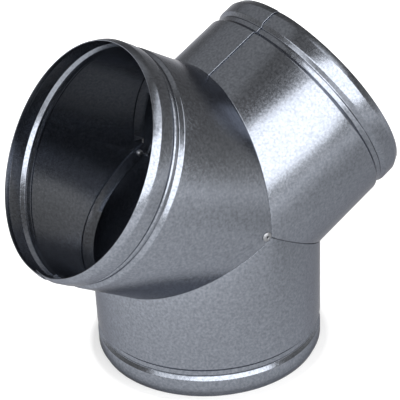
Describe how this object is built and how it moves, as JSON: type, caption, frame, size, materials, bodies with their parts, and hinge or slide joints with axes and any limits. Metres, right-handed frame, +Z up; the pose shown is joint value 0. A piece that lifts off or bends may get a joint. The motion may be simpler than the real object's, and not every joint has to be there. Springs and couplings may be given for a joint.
{
  "type": "duct y branch",
  "caption": "Galvanised sheet-steel duct Y branch with equal round spigots, turned-in mouths, rolled seal channels, lapped seams and riveted mitre joints.",
  "frame": {"origin": "middle of the trunk's mouth, on the surface that the part stands on", "axes": "+Z up along the trunk, +X towards the right branch in the plane of the Y, -Y towards the viewer"},
  "size_m": [0.2678, 0.1612, 0.2359],
  "materials": {
    "galvanised_sheet": "bright zinc, fine spangle",
    "rivet_body": "plain",
    "rivet_mandrel": "plain, dark at the broken end"
  },
  "bodies": {
    "root": {"trunk": "galvanised_sheet", "left_leg": "galvanised_sheet", "right_leg": "galvanised_sheet", "corner_rivets": "rivet_body", "rivet_mandrels": "rivet_mandrel"}
  },
  "joints": []
}
